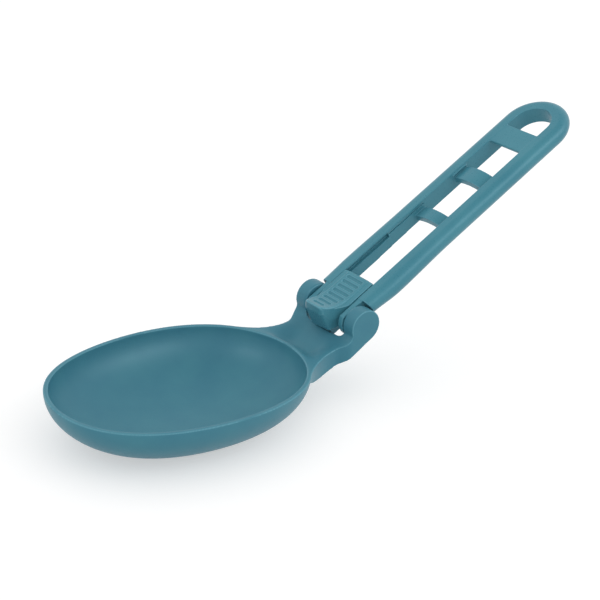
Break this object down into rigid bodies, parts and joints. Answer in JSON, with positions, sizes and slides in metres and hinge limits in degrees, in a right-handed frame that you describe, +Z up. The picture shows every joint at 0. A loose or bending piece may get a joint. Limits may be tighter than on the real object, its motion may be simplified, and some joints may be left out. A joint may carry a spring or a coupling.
{
  "type": "folding spoon",
  "caption": "Large moulded plastic folding spoon with an egg-shaped bowl, an open ladder handle and a ribbed thumb slider that locks them open.",
  "frame": {"origin": "middle of the whole spoon in the pictured pose, at the level of the flat patch under the bowl", "axes": "+X along the spoon from the bowl's tip to the handle's end, +Y across it, +Z up out of the bowl, whose rim is level"},
  "size_m": [0.1991, 0.0662, 0.0821],
  "materials": {
    "head_plastic": "satin, very fine grain",
    "handle_plastic": "satin, very fine grain",
    "slider_plastic": "satin, very fine grain"
  },
  "bodies": {
    "head": {"spoon_head": "head_plastic"},
    "handle": {"handle_frame": "handle_plastic"},
    "slider": {"lock_slider": "slider_plastic"}
  },
  "joints": [
    {"name": "bowl_fold", "type": "hinge", "parent": "head", "child": "handle", "pos_m": [0.00523, 0, 0.02473], "axis": [0, -1, 0], "range_deg": [0, 140]},
    {"name": "lock_slide", "type": "slide", "parent": "handle", "child": "slider", "axis": [0.866, 0, 0.5], "range_m": [0, 0.0195]}
  ],
  "couplings": [
    {"joint": "lock_slide", "follows": "bowl_fold", "m_per_rad": 0.0079}
  ]
}
